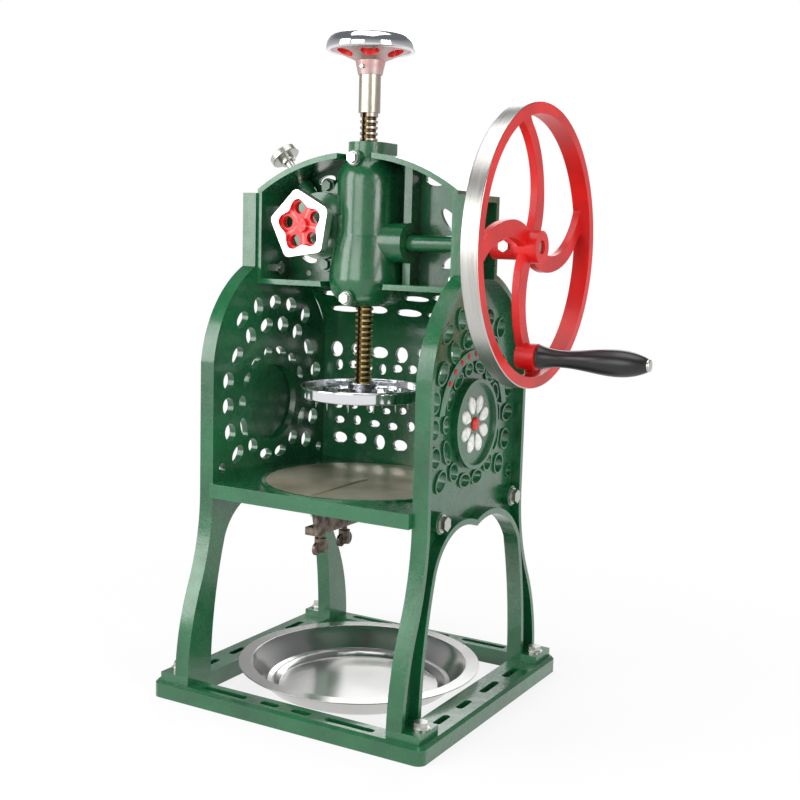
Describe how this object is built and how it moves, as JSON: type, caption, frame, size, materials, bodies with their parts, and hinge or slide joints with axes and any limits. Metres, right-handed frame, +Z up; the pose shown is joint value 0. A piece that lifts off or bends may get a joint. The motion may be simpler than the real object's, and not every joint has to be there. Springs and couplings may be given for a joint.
{
  "type": "hand-cranked ice shaver",
  "caption": "Hand-cranked ice shaver: cast frame, flywheel crank with bevel drive, feed screw with spiked pressure plate over a bladed ice table, and a catch tray.",
  "frame": {"origin": "the feed screw's axis at the surface that the base stands on", "axes": "+Z up along the feed screw, -Y towards the open front, +X towards the flywheel"},
  "size_m": [0.4766, 0.317, 0.69],
  "materials": {
    "casting": "gloss",
    "wheel_paint": "gloss",
    "steel": "satin",
    "knob_steel": "satin",
    "table_steel": "satin",
    "tray_steel": "satin",
    "chrome": "polished",
    "screw_brass": "satin",
    "bronze": "satin",
    "grip_black": "gloss"
  },
  "bodies": {
    "frame": {"base_frame": "casting", "side_frame_left": "casting", "side_frame_right": "casting", "foot_bolts": "steel", "foot_washers": "steel", "foot_nuts": "steel", "shelf": "casting", "shelf_bolts": "steel", "shelf_washers": "steel", "table_plate": "table_steel", "blade": "table_steel", "blade_holder": "steel", "head_casting": "casting", "head_bolts": "steel", "head_washers": "steel", "head_nuts": "steel", "back_panel": "casting", "panel_screws": "steel", "gear_case": "casting", "case_bolts": "steel", "bush_lock_screws": "steel", "bush_lock_washers": "steel", "spindle_bush": "bronze", "nut_bush": "bronze", "crank_bush_inner": "bronze", "crank_bush_outer": "bronze", "shaft_sleeve": "casting", "feed_housing": "casting", "feed_housing_bolts": "casting", "brake_shoe": "bronze"},
    "crank": {"crank_shaft": "steel", "bevel_pinion": "steel", "pinion_pin": "steel", "flywheel": "wheel_paint", "flywheel_set_screw": "steel", "handle_pin": "steel"},
    "grip": {"handle_grip": "grip_black"},
    "drive_gear": {"drive_gear": "steel", "feather_key": "steel"},
    "spindle": {"spindle": "screw_brass", "handwheel": "chrome", "handwheel_set_screw": "steel", "pressure_plate": "chrome", "plate_spikes": "steel", "plate_nut": "steel"},
    "feed_nut": {"feed_nut": "bronze"},
    "feed_knob": {"feed_knob": "knob_steel", "knob_shaft": "steel", "knob_gear": "steel", "brake_drum": "steel", "knob_grub_screw": "steel"},
    "brake_screw": {"brake_screw": "steel", "brake_screw_head": "steel"},
    "wing_front": {"wing_screw_front": "steel"},
    "wing_rear": {"wing_screw_rear": "steel"},
    "tray": {"tray": "tray_steel"}
  },
  "joints": [
    {"name": "crank_turn", "type": "hinge", "parent": "frame", "child": "crank", "pos_m": [0, 0, 0.4815], "axis": [1, 0, 0], "continuous": true},
    {"name": "grip_turn", "type": "hinge", "parent": "crank", "child": "grip", "pos_m": [0.26, -0.00185, 0.37552], "axis": [1, 0, 0], "continuous": true},
    {"name": "gear_turn", "type": "hinge", "parent": "frame", "child": "drive_gear", "pos_m": [0, 0, 0.46], "axis": [0, 0, 1], "continuous": true},
    {"name": "spindle_slide", "type": "slide", "parent": "drive_gear", "child": "spindle", "axis": [0, 0, 1], "range_m": [-0.066, 0.078]},
    {"name": "feed_nut_turn", "type": "hinge", "parent": "frame", "child": "feed_nut", "pos_m": [0, 0, 0.5], "axis": [0, 0, 1], "range_deg": [-4700, 4000]},
    {"name": "feed_knob_turn", "type": "hinge", "parent": "frame", "child": "feed_knob", "pos_m": [-0.052, 0, 0.497], "axis": [0, 1, 0], "range_deg": [-2920, 3440]},
    {"name": "brake_screw_turn", "type": "hinge", "parent": "frame", "child": "brake_screw", "pos_m": [-0.052, 0.013, 0.497], "axis": [-0.6428, 0, 0.766], "range_deg": [-180, 180]},
    {"name": "wing_front_turn", "type": "hinge", "parent": "frame", "child": "wing_front", "pos_m": [0.003, -0.08, 0.18], "axis": [0, 0, 1], "range_deg": [-180, 180]},
    {"name": "wing_rear_turn", "type": "hinge", "parent": "frame", "child": "wing_rear", "pos_m": [0.003, -0.035, 0.18], "axis": [0, 0, 1], "range_deg": [-180, 180]},
    {"name": "tray_lift", "type": "slide", "parent": "frame", "child": "tray", "axis": [0, 0, 1], "range_m": [0, 0.03]}
  ],
  "couplings": [
    {"joint": "gear_turn", "follows": "crank_turn", "ratio": 0.4},
    {"joint": "feed_nut_turn", "follows": "spindle_slide", "rad_per_m": -1047.2},
    {"joint": "feed_knob_turn", "follows": "spindle_slide", "rad_per_m": 767.94}
  ]
}
